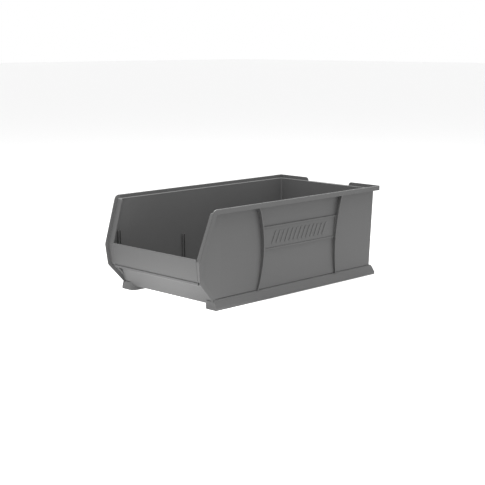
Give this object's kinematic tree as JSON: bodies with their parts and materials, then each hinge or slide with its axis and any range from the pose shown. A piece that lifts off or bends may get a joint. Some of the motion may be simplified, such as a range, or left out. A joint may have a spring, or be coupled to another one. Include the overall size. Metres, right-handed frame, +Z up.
{
  "type": "stackable storage bin",
  "caption": "Large open-top stacking bin with a hopper front, a lipped rim, a flared base skirt with foot rails, and curved stiffening fins on its sides.",
  "frame": {"origin": "middle of the underside, on the surface that the bin stands on", "axes": "+Z up, +Y from the hopper front to the back, +X to the right seen from the front"},
  "size_m": [0.419, 0.7586, 0.2794],
  "materials": {
    "moulding": "fine satin texture, grey polymer coloured through"
  },
  "bodies": {
    "root": {"cheek_left": "moulding", "cheek_right": "moulding", "divider_slot_left": "moulding", "divider_slot_right": "moulding", "floor_panel": "moulding", "foot_rail_left": "moulding", "foot_rail_right": "moulding", "foot_ribs_left": "moulding", "foot_ribs_right": "moulding", "front_fin_left": "moulding", "front_fin_right": "moulding", "front_foot_left": "moulding", "front_foot_right": "moulding", "front_lip": "moulding", "front_rib": "moulding", "hopper_edge_left": "moulding", "hopper_edge_right": "moulding", "plaque_bars_left": "moulding", "plaque_bars_right": "moulding", "plaque_frame_left": "moulding", "plaque_frame_right": "moulding", "plaque_plate_left": "moulding", "plaque_plate_right": "moulding", "rear_ear_left": "moulding", "rear_ear_right": "moulding", "rear_fin_left": "moulding", "rear_fin_right": "moulding", "rear_ledge": "moulding", "rear_rail": "moulding", "rear_ribs": "moulding", "rear_skirt": "moulding", "rear_wall": "moulding", "rim_ledge_left": "moulding", "rim_ledge_right": "moulding", "rim_lip_left": "moulding", "rim_lip_right": "moulding", "side_skirt_left": "moulding", "side_skirt_right": "moulding", "side_wall_left": "moulding", "side_wall_right": "moulding", "sloped_panel": "moulding", "window_slot_left": "moulding", "window_slot_right": "moulding"}
  },
  "joints": []
}
